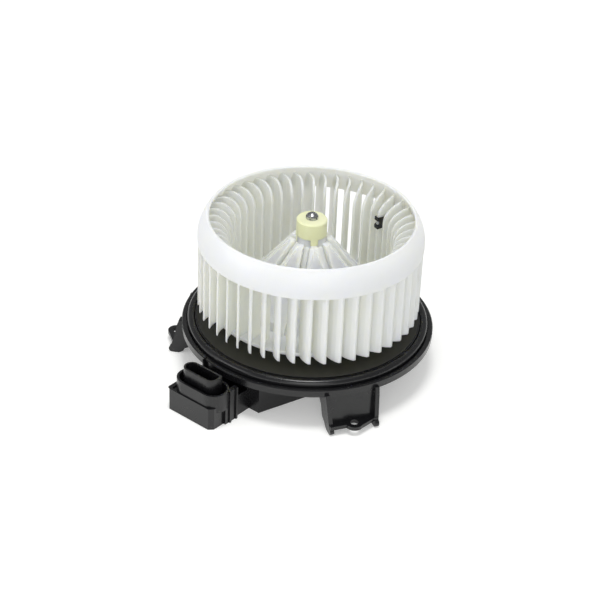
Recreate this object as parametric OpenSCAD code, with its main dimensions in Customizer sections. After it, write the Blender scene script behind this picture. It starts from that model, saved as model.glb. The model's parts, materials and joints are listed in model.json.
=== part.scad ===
// Car cabin blower motor: a squirrel-cage fan wheel on a brushed motor, held in a
// round mounting flange with three feet, a cooling cup and a two-pole connector.
// Millimetres. +Z is the motor axis, pointing out of the wheel's eye. The origin is the
// centre of the bolt circle, on the plane of the feet's seating faces.
// An azimuth is measured from -Y, where the connector is, towards +X.

/* [Fan wheel] */
// Outer diameter of the shroud band
wheel_d = 150; // [146:0.5:152]
// Number of blades
blade_count = 47; // [41:1:53]
// Azimuth of the first blade's tip
blade_azimuth = -36.2; // [-40:0.1:-30]
// Radius of the blades' inner edges, which is the wheel's eye
eye_r = 54.5; // [53:0.5:57]
// How far the blade tips lie inside the band
tip_step = 0.5; // [0.2:0.1:1]
// Angle that a blade sweeps forward from its inner edge to its tip
blade_sweep = 6; // [4:0.5:7]
// Blade thickness at the inner edge
blade_root_t = 1.7; // [1.2:0.1:1.8]
// Blade thickness at the tip
blade_tip_t = 1.1; // [0.9:0.1:1.3]
// Height of the wheel from the blades' feet to the lip
wheel_h = 67.5; // [65:0.5:70]
// Height of the blades' feet above the flange's rim
wheel_lift = 13.3; // [11:0.1:15]
// How far the lip stands above the blades' top edges
lip_above_blades = 6.6; // [5:0.2:8]
// Radius of the bell-mouth cut on the blades' inner top corners
bell_r = 12.6; // [10:0.2:14]
// Depth of the shroud from the lip to the band's lower edge
shroud_depth = 18.6; // [17:0.2:21]
// Radius of the shroud's rounded shoulder
shoulder_r = 23; // [20:0.5:26]
// Height of the rounded shoulder
shoulder_h = 15.8; // [14:0.2:16.4]
// Wall of the shroud
shroud_t = 1.8; // [1.4:0.1:2.2]
// Radius of the rolled lip
lip_r = 1.1; // [0.9:0.1:1.4]
// Outer radius of the back disc that carries the blades
disc_r = 66; // [62:0.5:70]
// Thickness of the back disc
disc_t = 2.2; // [1.6:0.1:3]

/* [Hub cone] */
// Outer radius of the hub collar
hub_r = 10.2; // [9.5:0.1:11]
// Height of the panels' outer line at the hub collar, above the blades' feet
cone_h = 54.8; // [52:0.2:56]
// Radius at which the panels' outer line meets the back disc
cone_foot_r = 52.7; // [51:0.1:54]
// Wall of the cone
cone_t = 1.8; // [1.5:0.1:2.2]
// How far the tent-shaped panels stand above the cone's wall
panel_rise = 4.2; // [3:0.1:4.4]
// How far the narrow ribs stand above the cone's wall
narrow_rib_rise = 1.2; // [0.8:0.1:2]
// Depth of the panels' flat tops below the hub collar's top
panel_top_drop = 3.9; // [3:0.1:5]
// Number of tent-shaped panels
panel_count = 8; // [6:1:8]
// Azimuth of the first panel
panel_azimuth = 49.5; // [40:0.5:60]
// Half the angle that a panel spans on the cone
panel_half_angle = 16.5; // [14:0.5:17]
// Half the width of a panel where it leaves the hub collar
panel_apex_half_w = 1.3; // [1:0.1:2]
// Radius of the apex of a panel's recess
panel_apex_r = 13.7; // [12.5:0.1:15]
// Radius at which a panel has opened to its full angle
panel_open_r = 24; // [20:0.5:28]
// Radius of a panel's outer end
panel_end_r = 47; // [44:0.5:50]
// Width of the raised edge round a panel's recess
panel_edge_w = 1.3; // [1:0.1:1.6]
// Depth of a panel's recess
panel_recess = 0.8; // [0.4:0.1:1]
// Width of the narrow ribs between the panels
narrow_rib_w = 2.4; // [1.6:0.1:2.8]

/* [Hub insert and retainer] */
// Height of the insert's top face above the panels' outer line
insert_above_cone = 10.3; // [9:0.1:12]
// Length of the insert's cylinder above the hub collar
insert_h = 11.4; // [10:0.2:12.5]
// How far the four tabs reach down into the collar
tab_depth = 4; // [3:0.2:5]
// Angle that each tab spans
tab_angle = 30; // [24:1:36]
// Azimuth of the first tab
tab_azimuth = 51; // [45:1:57]
// Radius of the insert's spigot in the collar
spigot_r = 7.4; // [7:0.1:7.8]
// Length of the spigot below the collar's top
spigot_h = 14; // [12:0.5:16]
// Diameter of the motor shaft
shaft_d = 6; // [5:0.1:6.4]
// Diameter of the push-on retainer
retainer_d = 8.2; // [7.8:0.1:9]
// Height of the retainer above the insert
retainer_h = 3.9; // [3:0.1:4.5]

/* [Mounting flange] */
// Outer diameter of the flange's rim
rim_d = 170; // [168:1:174]
// Width of the flat rim
rim_w = 2.9; // [2.4:0.1:3.2]
// Height of the rim's top face above the feet's seating faces
rim_z = 23; // [21:0.5:25]
// Height of the skirt under the rim
skirt_h = 5; // [4:0.5:6]
// Depth of the seal groove inside the rim
groove_d = 2.5; // [1.5:0.1:2.8]
// Radius of the raised bead's crest
bead_crest_r = 78.7; // [78:0.1:79]
// Radius of the bead's rounding
bead_r = 2.6; // [2.2:0.1:2.8]
// Height of the bead's crest above the rim
bead_h = 4.2; // [3.5:0.1:5]
// Height of the dish floor's outer edge above the rim
floor_edge_h = 3.6; // [3:0.1:4]
// How far the floor rises towards the motor
floor_rise = 3.4; // [2:0.2:4.5]
// Wall of the flange moulding
wall_t = 2.5; // [2:0.1:3]
// Height of the motor collar above the rim
collar_h = 21; // [18:0.5:23]
// Number of stiffening ribs under the dish
under_rib_count = 12; // [6:1:16]
// Thickness of the stiffening ribs
under_rib_t = 1.8; // [1.4:0.1:2.4]

/* [Feet] */
// Diameter of the bolt circle
bolt_circle_d = 182; // [180:0.5:184]
// Diameter of the bolt holes
bolt_hole_d = 5.5; // [5:0.1:6]
// Half the width of a foot over its side ribs, at the rim's top
foot_half_w = 18.8; // [17:0.1:20]
// Angle at which the side ribs lean towards each other
foot_lean = 3.8; // [2:0.1:5]
// How far inside the bolt circle the foot's web meets the plate
web_setback = 3; // [2:0.1:4]
// Thickness of the foot's web
web_t = 2.8; // [2.2:0.1:3.2]
// Half the width of a foot's plate
plate_half_w = 17; // [16:0.1:17.4]
// Thickness of a foot's plate
foot_t = 2.6; // [2:0.1:3.2]
// Thickness of the side ribs
side_rib_t = 2.8; // [2:0.1:3.2]
// Radius of the rounded ear round the hole
ear_r = 5.9; // [5.4:0.1:6.4]
// Azimuths of the three feet
foot_azimuths = [-60, 60, 180];

/* [Cooling cup] */
// Outer radius of the cup round the motor
cup_r = 42; // [41:0.5:44]
// Wall of the cup
cup_t = 2.2; // [2:0.1:2.6]
// Depth of the cup below the feet's seating faces
cup_drop = 7; // [6.5:0.5:9]
// Distance of the cup's end wall from the axis
cup_end = 73; // [70:0.5:75]
// Right-hand corner of the end wall
cup_right = 20.9; // [19:0.1:23]
// Left-hand corner of the end wall
cup_left = 26.7; // [25:0.1:29]
// Thickness of the bottom cover
cover_t = 1.8; // [1.5:0.1:2.2]
// Depth at which the bottom cover is set in
cover_inset = 1.5; // [1.2:0.1:1.8]
// Radius of the screw bosses
boss_r = 3.4; // [3.2:0.1:3.5]
// Shank diameter of the cover screws
screw_d = 3.2; // [2.8:0.1:3.5]
// Head diameter of the cover screws
screw_head_d = 5.4; // [5:0.1:6]

/* [Connector] */
// Width of the connector box
box_w = 38.1; // [36.5:0.1:40]
// Depth of the connector box
box_d = 23; // [22:0.5:25]
// Height of the connector box
box_h = 16; // [15:0.5:18]
// Centre of the box, across
box_x = -7.15; // [-8:0.05:-6]
// Length of the arm between the cup and the box
arm_l = 13; // [11:0.5:15]
// Depth of the trough in the arm's top
trough_d = 7; // [5:0.5:8]
// Chamfer on the box's right-hand front corner
box_chamfer = 2.8; // [2:0.1:3.4]
// How far the lip round the box's top stands out on the left
box_lip = 1.1; // [0.6:0.1:1.4]
// Centre of the socket, across
socket_x = -6.3; // [-7:0.1:-5.5]
// Distance from the box's front face to the socket's centre line
socket_setback = 10.4; // [10.2:0.1:10.8]
// Length of the socket's outline
socket_l = 27.6; // [26:0.2:29]
// Width of the socket's outline
socket_w = 10.8; // [10.4:0.1:12]
// Wall of the socket
socket_t = 1.3; // [1:0.1:1.6]
// Height of the socket's mouth above the box
socket_h = 17; // [15:0.5:18]
// Distance of the outer collar's centre to the right of the socket's
collar_shift = 0.8; // [0:0.1:1.2]
// Distance of the outer collar's centre behind the socket's
collar_back = 0.4; // [0:0.1:0.8]
// Length of the outer collar's outline
collar_l = 39; // [37:0.5:40]
// Width of the outer collar's outline
collar_w = 19.8; // [18.5:0.1:20.4]
// Wall of the outer collar
collar_t = 1.5; // [1.2:0.1:1.8]
// Height of the outer collar above the box
collar_rise = 9; // [7:0.5:11]
// Depth of the latch along the box's right-hand side
latch_d = 11.2; // [9:0.1:13]
// Thickness of the latch
latch_t = 1.7; // [1.4:0.1:2]
// How far the latch's fins stand out
fin_reach = 2.7; // [2.2:0.1:3.4]
// Distance between the two terminals
terminal_pitch = 8; // [7.5:0.5:9]
// Width of a terminal blade
terminal_w = 6.3; // [4.8:0.1:6.3]
// Thickness of a terminal blade
terminal_t = 0.8; // [0.6:0.1:1]

/* [Motor] */
// Outer diameter of the motor can
can_d = 61; // [58:0.5:62]
// Wall of the motor can
can_t = 1.5; // [1.2:0.1:1.8]
// Gap between the can's closed end and the wheel's cone above it
can_gap = 3; // [2:0.1:5]
// Radius of the bearing boss on the can and on the end bell
bearing_boss_r = 8.5; // [8:0.1:9]
// Height of the can's bearing boss
bearing_boss_h = 4.5; // [4:0.1:5.5]
// Outer radius of the bearings
bearing_r = 6.5; // [6:0.1:6.8]
// Thickness of the magnets
magnet_t = 3.4; // [3:0.1:3.6]
// Distance from the can's closed end to the magnets
magnet_end_gap = 4; // [3:0.5:6]
// Angle that each magnet spans
magnet_angle = 132; // [120:1:140]
// Air gap between the magnets and the armature
air_gap = 0.6; // [0.5:0.1:0.8]
// How far the armature's lamination stack lies inside the magnets at each end
stack_inset = 6; // [5.6:0.1:7]
// Number of armature slots
slot_count = 12; // [8:1:14]
// Outer radius of the commutator
commutator_r = 10; // [9:0.1:11]
// Length of the commutator's track
commutator_h = 9; // [8:0.1:10]
// Width of a brush across the commutator
brush_w = 6; // [5:0.1:7]
// Height of a brush along the shaft
brush_h = 7; // [6:0.1:7.4]
// Length of a brush
brush_l = 10; // [9:0.1:11]
// Travel that a brush has outwards against its spring
brush_travel = 2.5; // [2:0.1:3]

/* [Hidden] */
$fn = 96;
eps = 0.01;
// clearances between pieces
fit_gap = 0.1;
seat_gap = 0.05;
run_gap = 0.04;
// wheel levels and radii
wheel_r = wheel_d / 2;
tip_r = wheel_r - tip_step;
feet_z = rim_z + wheel_lift;
lip_z = feet_z + wheel_h;
blade_top_z = lip_z - lip_above_blades;
band_z = lip_z - shroud_depth;
shoulder_z = lip_z - shoulder_h;
shoulder_x = wheel_r - shoulder_r;
shoulder_mid_r = shoulder_r - shroud_t / 2;
lip_angle = asin((lip_z - lip_r - shoulder_z) / shoulder_mid_r);
bell_x = eye_r + bell_r;
bell_z = blade_top_z - bell_r;
blade_steps = 7;
disc_top_z = feet_z + disc_t;
cone_top_z = feet_z + cone_h;
cone_slope = (cone_top_z - disc_top_z) / (cone_foot_r - hub_r);
cone_drop = 1 / cos(atan(cone_slope));
collar_top_z = cone_top_z + insert_above_cone - insert_h;
insert_top_z = cone_top_z + insert_above_cone;
hub_bottom_z = collar_top_z - spigot_h - 2;
panel_top_z = collar_top_z - panel_top_drop;
// blade that carries the balance clip
clip_blade = 27;
clip_leg_t = 0.8;
clip_gap = 0.25;
clip_reach = 9.6;
clip_half_h = 4.3;
clip_mid_z = rim_z + 59;
// flange levels and radii
rim_r = rim_d / 2;
rim_inner_r = rim_r - rim_w;
skirt_z = rim_z - skirt_h;
bead_z = rim_z + bead_h - bead_r;
floor_edge_r = bead_crest_r - bead_r - 0.9;
floor_edge_z = rim_z + floor_edge_h;
floor_inner_z = floor_edge_z + floor_rise;
can_r = can_d / 2;
collar_bore_r = can_r + 2.8;
collar_outer_r = collar_bore_r + 2;
collar_top = rim_z + collar_h;
collar_lip_r = can_r + 0.8;
collar_lip_t = 1.7;
isolator_h = 8;
// feet
bolt_r = bolt_circle_d / 2;
web_top_r = rim_r - 0.25;
web_low_r = bolt_r - web_setback;
plate_inner_r = web_low_r - web_t - 3.6;
foot_bottom_z = -foot_t;
rib_tip_round = 2.5;
// cup outline, as two lines tangent to the cup's circle
right_corner = [cup_right, -cup_end];
left_corner = [-cup_left, -cup_end];
function polar_angle(p) = atan2(p[1], p[0]);
right_normal = polar_angle(right_corner) + acos(cup_r / norm(right_corner));
left_normal = polar_angle(left_corner) - acos(cup_r / norm(left_corner));
cup_bottom = -cup_drop;
cover_z = cup_bottom + cover_inset;
cover_top_z = cover_z + cover_t;
screw_places = [[36.9, 60], [36.9, 180], [36.9, -60], [67.2, -17.5], [67.2, 12.4]];
screw_l = 12;
screw_head_h = 1.4;
cross_l = 3.2;
cross_w = 0.8;
cross_h = 1.4;
cross_depth = 0.8;
locating_ring_inset = 13;
locating_ring_w = 2;
locating_ring_h = 1.4;
isolator_low_w = 4;
isolator_low_gap = 0.3;
// connector
box_back = -(cup_end + arm_l);
box_front = box_back - box_d;
box_top = cup_bottom + box_h;
socket_y = box_front + socket_setback;
socket_top = box_top + socket_h;
socket_floor = cup_bottom + 11;
collar_rise_z = box_top + collar_rise;
collar_floor = cup_bottom + 13;
arm_left = -cup_left;
arm_right = box_x + box_w / 2 + 0.6;
tunnel_w = 17;
tunnel_h = 4.6;
tunnel_z = cover_top_z - 0.6;
bar_t = 0.8;
bar_w = 5.4;
bar_z = cover_top_z + 0.3;
terminal_tip_z = socket_top - 6;
terminal_side = [socket_x - terminal_pitch / 2, socket_x + terminal_pitch / 2];
// motor levels
bell_plate_z = 0.3;
bell_plate_t = 1.5;
bell_boss_drop = 3.4;
card_z = 2.2;
card_t = 2.2;
card_top = card_z + card_t;
card_tongue_end = can_r + 5.5;
can_inner_r = can_r - can_t;
can_top = cone_z(can_r, panel_rise + cone_t) - can_gap;
magnet_outer_r = can_inner_r - seat_gap;
magnet_inner_r = magnet_outer_r - magnet_t;
magnet_z = 15.5;
magnet_h = can_top - can_t - magnet_end_gap - magnet_z;
stack_r = magnet_inner_r - air_gap;
stack_h = magnet_h - 2 * stack_inset;
stack_z = magnet_z + stack_inset;
brush_mid_z = card_top + 0.9 + brush_h / 2;
commutator_z = brush_mid_z - commutator_h / 2;
brush_face_r = commutator_r + 0.1;
brush_back_r = brush_face_r + brush_l;
tube_wall = 0.6;
tube_gap = 0.15;
tube_start_r = brush_face_r + 2.4;
tube_end_r = can_inner_r - 0.9;
shaft_r = shaft_d / 2;
shaft_bottom_z = -1.2;
shaft_top_z = insert_top_z + 1.4;
upper_bearing_h = 5;
upper_bearing_z = can_top + bearing_boss_h - 1.2 - upper_bearing_h;
lower_bearing_h = 3.6;
lower_bearing_z = -0.7;
bearing_lip = 1.4;
upper_retainer_t = 0.8;
winding_r = stack_r - 3.4;
winding_h = 5.2;

// Places its children at a radius and an azimuth
module at_azimuth(a, r = 0) {
    rotate([0, 0, a - 90])
        translate([r, 0, 0])
            children();
}

// A tube with its lower end at z
module tube(r_out, r_in, h, z = 0) {
    translate([0, 0, z])
        difference() {
            cylinder(r = r_out, h = h);
            translate([0, 0, -1])
                cylinder(r = r_in, h = h + 2);
        }
}

// Box between two corners
module block(low, high) {
    translate(low)
        cube(high - low);
}

// Fan wheel

// Camber line of a blade: its angle stays near the root's and closes on the tip with a cube law
function blade_angle(r) = -blade_sweep * (1 - pow((r - eye_r) / (tip_r - eye_r), 3));
function blade_mid(r) = r * [cos(blade_angle(r)), sin(blade_angle(r))];
function unit(v) = v / norm(v);
function blade_along(r) = unit(blade_mid(r + 0.05) - blade_mid(r - 0.05));
function blade_normal(r) = [-blade_along(r)[1], blade_along(r)[0]];
function blade_half(r) =
    (blade_root_t + (blade_tip_t - blade_root_t) * (r - eye_r) / (tip_r - eye_r)) / 2;
// Stations along a blade, closer together towards the curved tip
function blade_station(i) =
    eye_r - 1 + (tip_r - eye_r + 2) * (1 - pow(1 - i / blade_steps, 1.5));
function blade_side(side) = [
    for (i = [0 : blade_steps])
        let (r = blade_station(i))
            blade_mid(r) + side * blade_half(r) * blade_normal(r)
];
function reversed(list) = [for (i = [len(list) - 1 : -1 : 0]) list[i]];

module blade_outline() {
    polygon(concat(blade_side(-1), reversed(blade_side(1))));
}

// Part of a blade's plan between two radii, made wider by a margin on both sides
function blade_margin(r_in, r_out, margin, side) = [
    for (i = [0 : blade_steps])
        let (r = r_in + (r_out - r_in) * i / blade_steps)
            blade_mid(r) + side * (blade_half(r) + margin) * blade_normal(r)
];
module blade_strip(r_in, r_out, margin) {
    polygon(concat(blade_margin(r_in, r_out, margin, -1),
                   reversed(blade_margin(r_in, r_out, margin, 1))));
}

// The space that the blades fill, in section: square feet, a bell-mouth cut at the inner
// top corner and an outer top corner that ends inside the shroud's wall
module blade_envelope() {
    rotate_extrude()
        difference() {
            intersection() {
                translate([eye_r, feet_z])
                    square([wheel_r, blade_top_z - feet_z]);
                union() {
                    translate([eye_r - 1, feet_z - 1])
                        square([tip_r - eye_r + 1, shoulder_z - feet_z + 1]);
                    translate([shoulder_x, shoulder_z])
                        circle(r = shoulder_mid_r);
                }
            }
            difference() {
                translate([eye_r - 1, bell_z])
                    square([bell_r + 1, bell_r + 1]);
                translate([bell_x, bell_z])
                    circle(r = bell_r);
            }
        }
}

module blades() {
    intersection() {
        for (i = [0 : blade_count - 1])
            at_azimuth(blade_azimuth + i * 360 / blade_count)
                translate([0, 0, feet_z - 1])
                    linear_extrude(wheel_h)
                        blade_outline();
        blade_envelope();
    }
}

// Shroud in section: a straight band, a rounded shoulder and a rolled lip
module shroud() {
    reach = 3 * shoulder_r;
    drop = shoulder_z - band_z;
    rotate_extrude() {
        translate([shoulder_x, shoulder_z])
            difference() {
                union() {
                    circle(r = shoulder_r);
                    translate([0, -drop - 1])
                        square([shoulder_r, drop + 1]);
                }
                circle(r = shoulder_r - shroud_t);
                translate([-1, -drop - 2])
                    square([shoulder_r - shroud_t + 1, drop + 2]);
                translate([-1, -drop - reach])
                    square([reach, reach]);
                polygon([
                    [0, -reach],
                    [0, 0],
                    reach * [cos(lip_angle), sin(lip_angle)],
                    [-reach, reach],
                    [-reach, -reach]
                ]);
            }
        translate([shoulder_x + shoulder_mid_r * cos(lip_angle),
                   shoulder_z + shoulder_mid_r * sin(lip_angle)])
            circle(r = lip_r);
    }
}

// Height of the cone's outer line, dropped by a distance measured square to it
function cone_z(r, drop) = cone_top_z - (r - hub_r) * cone_slope - drop * cone_drop;
function cone_radius(z, drop) = hub_r + (cone_top_z - drop * cone_drop - z) / cone_slope;

// Region between two lines parallel to the cone's outer line, cut off flat at a height
module cone_band(drop_top, drop_bottom, r_in, top_z) {
    flat_r = cone_radius(top_z, drop_top);
    rotate_extrude()
        polygon([
            [r_in, top_z],
            [flat_r, top_z],
            [cone_foot_r, cone_z(cone_foot_r, drop_top)],
            [cone_foot_r, cone_z(cone_foot_r, drop_bottom)],
            [r_in, cone_z(r_in, drop_bottom)]
        ]);
}

// Tent shape in plan: a narrow top that opens at one angle and then keeps to a sector
module panel_outline(apex_r, apex_half_w, inset) {
    open_w = panel_open_r * tan(panel_half_angle) - inset;
    end_w = panel_end_r * tan(panel_half_angle) - inset;
    polygon([
        [apex_r, -apex_half_w],
        [panel_open_r + inset, -open_w],
        [panel_end_r - inset, -end_w],
        [panel_end_r - inset, end_w],
        [panel_open_r + inset, open_w],
        [apex_r, apex_half_w]
    ]);
}

module at_panels(turn, z_low) {
    for (i = [0 : panel_count - 1])
        at_azimuth(panel_azimuth + (i + turn) * 360 / panel_count)
            translate([0, 0, z_low])
                linear_extrude(cone_h + insert_above_cone)
                    children();
}

// Panels and the lower ribs between them, both rooted in the cone's wall
module cone_ribs() {
    root = cone_t / 3;
    intersection() {
        at_panels(0, disc_top_z - 1)
            panel_outline(hub_r - root, panel_apex_half_w, 0);
        cone_band(0, panel_rise + root, hub_r - 2 * root, panel_top_z);
    }
    intersection() {
        at_panels(0.5, disc_top_z - 1)
            translate([hub_r - root, -narrow_rib_w / 2])
                square([panel_end_r - hub_r, narrow_rib_w]);
        cone_band(panel_rise - narrow_rib_rise, panel_rise + root, hub_r - 2 * root, panel_top_z - 1);
    }
}

// Shallow recess in each panel's face, within its raised edge
module cone_recesses() {
    intersection() {
        at_panels(0, disc_top_z)
            panel_outline(panel_apex_r, panel_edge_w / 8, panel_edge_w);
        cone_band(-2, panel_recess, hub_r + 1, panel_top_z + 2);
    }
}

// Hollow under each panel, so that the moulding keeps one wall thickness
module cone_cores() {
    intersection() {
        at_panels(0, feet_z - 1)
            panel_outline(panel_apex_r + cone_t, panel_edge_w / 8, cone_t);
        cone_band(panel_recess + cone_t, panel_rise + 2 * cone_t, panel_apex_r, panel_top_z - cone_t);
    }
}

// Back disc, cone wall and hub collar, in section
module hub_and_disc() {
    inner_foot_r = cone_radius(feet_z, panel_rise + cone_t);
    outer_foot_r = cone_radius(disc_top_z, panel_rise);
    rotate_extrude()
        polygon([
            [spigot_r + fit_gap, collar_top_z],
            [hub_r, collar_top_z],
            [hub_r, cone_z(hub_r, panel_rise)],
            [outer_foot_r, disc_top_z],
            [disc_r - 0.6, disc_top_z],
            [disc_r, disc_top_z - 0.6],
            [disc_r, feet_z],
            [inner_foot_r, feet_z],
            [hub_r, cone_z(hub_r, panel_rise + cone_t)],
            [hub_r, hub_bottom_z],
            [spigot_r + fit_gap, hub_bottom_z]
        ]);
}

// Four sectors of a ring: the collar's notches, or the spaces between the insert's tabs
module ring_sectors(azimuth, r_in, r_out, z_low, z_high, angle) {
    for (i = [0 : 3])
        at_azimuth(azimuth + i * 90)
            translate([0, 0, z_low])
                linear_extrude(z_high - z_low)
                    difference() {
                        polygon([
                            [0, 0],
                            [r_out, -r_out * tan(angle / 2)],
                            [r_out, r_out * tan(angle / 2)]
                        ]);
                        circle(r = r_in);
                    }
}

module fan_wheel() {
    color("honeydew")
        difference() {
            union() {
                blades();
                shroud();
                hub_and_disc();
                cone_ribs();
            }
            cone_recesses();
            cone_cores();
            ring_sectors(tab_azimuth, spigot_r - 1, hub_r + 0.4, collar_top_z - tab_depth,
                         collar_top_z + 1, tab_angle);
        }
}

module hub_insert() {
    chamfer = 0.8;
    tab_bottom_z = collar_top_z - tab_depth + seat_gap;
    tab_side_gap = 0.8;
    color("khaki")
        difference() {
            rotate_extrude()
                polygon([
                    [shaft_r + seat_gap, collar_top_z - spigot_h],
                    [spigot_r, collar_top_z - spigot_h],
                    [spigot_r, tab_bottom_z],
                    [hub_r, tab_bottom_z],
                    [hub_r, insert_top_z - chamfer],
                    [hub_r - chamfer, insert_top_z],
                    [shaft_r + seat_gap, insert_top_z]
                ]);
            ring_sectors(tab_azimuth + 45, spigot_r, 2 * hub_r, tab_bottom_z - 1,
                         collar_top_z + seat_gap, 90 - tab_angle + 2 * tab_side_gap);
        }
}

// Push-on retainer: a domed spring-steel cap with slots, on the shaft's end
module shaft_retainer() {
    dome_r = retainer_d / 2;
    slot_w = 0.9;
    base_z = insert_top_z + seat_gap;
    color("slategray")
        difference() {
            union() {
                translate([0, 0, base_z])
                    cylinder(r = dome_r, h = retainer_h * 0.45);
                translate([0, 0, base_z + retainer_h * 0.45])
                    cylinder(r1 = dome_r, r2 = dome_r * 0.78, h = retainer_h * 0.3);
                translate([0, 0, base_z + retainer_h * 0.75])
                    cylinder(r1 = dome_r * 0.78, r2 = dome_r * 0.42, h = retainer_h * 0.25);
            }
            translate([0, 0, base_z - 1])
                cylinder(r = shaft_r + seat_gap, h = shaft_top_z - base_z + 1 + seat_gap);
            for (i = [0 : 5])
                at_azimuth(21 + i * 60)
                    translate([dome_r - 0.75, -slot_w / 2, base_z + 0.5])
                        cube([2, slot_w, retainer_h]);
        }
}

// Side view of the balance clip: a short lower edge and a pointed upper outer corner
module clip_outline(r_low) {
    difference() {
        polygon([
            [r_low, clip_mid_z - clip_half_h],
            [eye_r + clip_reach / 2, clip_mid_z - clip_half_h],
            [eye_r + clip_reach / 2, clip_mid_z],
            [eye_r + clip_reach, clip_mid_z + 0.7 * clip_half_h],
            [r_low, clip_mid_z + clip_half_h]
        ]);
        translate([r_low, clip_mid_z])
            circle(r = clip_half_h * 0.4);
    }
}

// Spring clip pushed over the inner edge of one blade to balance the wheel
module balance_clip() {
    r_low = eye_r - fit_gap - clip_leg_t;
    r_high = eye_r + clip_reach + 1;
    side_reach = 12;
    color("black")
        at_azimuth(blade_azimuth + clip_blade * 360 / blade_count)
            difference() {
                intersection() {
                    translate([0, 0, clip_mid_z - clip_half_h - 1])
                        linear_extrude(2 * clip_half_h + 2)
                            blade_strip(r_low - 1, r_high, clip_gap + clip_leg_t);
                    rotate([0, 0, -blade_sweep])
                        translate([0, side_reach, 0])
                            rotate([90, 0, 0])
                                linear_extrude(2 * side_reach)
                                    clip_outline(r_low);
                }
                translate([0, 0, clip_mid_z - clip_half_h - 2])
                    linear_extrude(2 * clip_half_h + 4)
                        blade_strip(eye_r - fit_gap, r_high + 1, clip_gap);
            }
}

// Mounting flange

// Dish in section: rim and skirt, seal groove, rounded bead, shallow floor and motor collar
module dish() {
    groove_z = rim_z - groove_d;
    bead_out_r = bead_crest_r + bead_r;
    bead_in_r = bead_crest_r - bead_r;
    rim_round = 0.5;
    rotate_extrude() {
        difference() {
            polygon([
                [rim_r, skirt_z],
                [rim_r, rim_z - rim_round],
                [rim_r - rim_round, rim_z],
                [rim_inner_r, rim_z],
                [rim_inner_r, groove_z],
                [bead_out_r, groove_z],
                [bead_out_r, bead_z],
                [bead_in_r, bead_z],
                [bead_in_r, floor_edge_z - 0.5],
                [floor_edge_r, floor_edge_z - 0.5],
                [floor_edge_r, floor_edge_z],
                [collar_outer_r + 1.6, floor_inner_z],
                [collar_outer_r, floor_inner_z + 1.6],
                [collar_outer_r, collar_top - 0.6],
                [collar_outer_r - 0.6, collar_top],
                [collar_lip_r, collar_top],
                [collar_lip_r, collar_top - collar_lip_t],
                [collar_bore_r, collar_top - collar_lip_t],
                [collar_bore_r, floor_inner_z - wall_t - 1],
                [collar_outer_r + 1.6, floor_inner_z - wall_t],
                [floor_edge_r - 0.6, floor_edge_z - wall_t],
                [bead_in_r + 1.4, groove_z - wall_t + 1.4],
                [bead_in_r + 2.4, skirt_z]
            ]);
        }
        translate([bead_crest_r, bead_z])
            circle(r = bead_r);
    }
}

// Slab square to the foot's direction, as wide as the foot and narrower at its lower end
module foot_taper() {
    low_z = -cup_drop;
    low_half_w = foot_half_w - (rim_z - low_z) * tan(foot_lean);
    rotate([90, 0, 90])
        linear_extrude(2 * rim_r)
            polygon([
                [-foot_half_w, rim_z],
                [foot_half_w, rim_z],
                [low_half_w, low_z],
                [-low_half_w, low_z]
            ]);
}

// Curved web that carries a foot and leans out from the rim to the plate
module foot_web() {
    intersection() {
        rotate_extrude()
            polygon([
                [web_top_r - web_t, skirt_z + 1],
                [web_top_r, skirt_z + 1],
                [web_low_r, foot_bottom_z],
                [web_low_r - web_t, foot_bottom_z]
            ]);
        foot_taper();
    }
}

// Outline of a foot's plate: a bar across, with a straight edge on one side of the round
// ear and a slope on the other
module foot_outline() {
    edge_r = bolt_r + 1.3;
    slope_r = bolt_r - 0.5;
    ear_in = ear_r - 0.1;
    difference() {
        union() {
            polygon([
                [plate_inner_r, -plate_half_w],
                [edge_r, -plate_half_w],
                [edge_r, 3 - ear_r],
                [bolt_r + ear_in * cos(35), ear_in * sin(35)],
                [slope_r, plate_half_w - 3],
                [slope_r, plate_half_w],
                [plate_inner_r, plate_half_w]
            ]);
            translate([bolt_r, 0])
                circle(r = ear_r);
        }
        translate([bolt_r, 0])
            circle(d = bolt_hole_d);
    }
}

// Side rib of a foot in elevation: it hangs from the dish and the rim, steps in towards
// the rounded tip below the plate, and its inner edge sweeps down and outwards
module side_rib_outline() {
    tip_z = -cup_drop + rib_tip_round;
    tip_x = bolt_r - 1;
    dish_x = floor_edge_r - 2;
    polygon([
        [dish_x - 1.7, floor_edge_z - wall_t / 2 + 0.1],
        [dish_x, floor_edge_z - wall_t / 2],
        [dish_x + 3.5, rim_z - groove_d - 0.5],
        [rim_r + 0.3, rim_z - groove_d - 0.5],
        [rim_r + 1.3, skirt_z - 1.5],
        [rim_r + 2.4, skirt_z - 5.8],
        [tip_x, 0],
        [tip_x + 0.5, foot_bottom_z],
        [tip_x + 0.5, tip_z],
        [tip_x - 0.5, -cup_drop + 0.1],
        [tip_x - 4.5, -cup_drop],
        [plate_inner_r + 0.7, -5],
        [plate_inner_r - 0.3, -2.8],
        [plate_inner_r - 4.2, -0.9],
        [plate_inner_r - 5.8, 7.3],
        [plate_inner_r - 8.4, 11],
        [dish_x - 1.7, skirt_z]
    ]);
    translate([tip_x, tip_z])
        circle(r = rib_tip_round);
}

module foot() {
    foot_web();
    translate([0, 0, foot_bottom_z])
        linear_extrude(foot_t)
            foot_outline();
    for (side = [-1, 1])
        translate([0, side * (foot_half_w - side_rib_t / 2), rim_z])
            rotate([-side * foot_lean, 0, 0])
                translate([0, side_rib_t / 2, -rim_z])
                    rotate([90, 0, 0])
                        linear_extrude(side_rib_t)
                            side_rib_outline();
}

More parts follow.
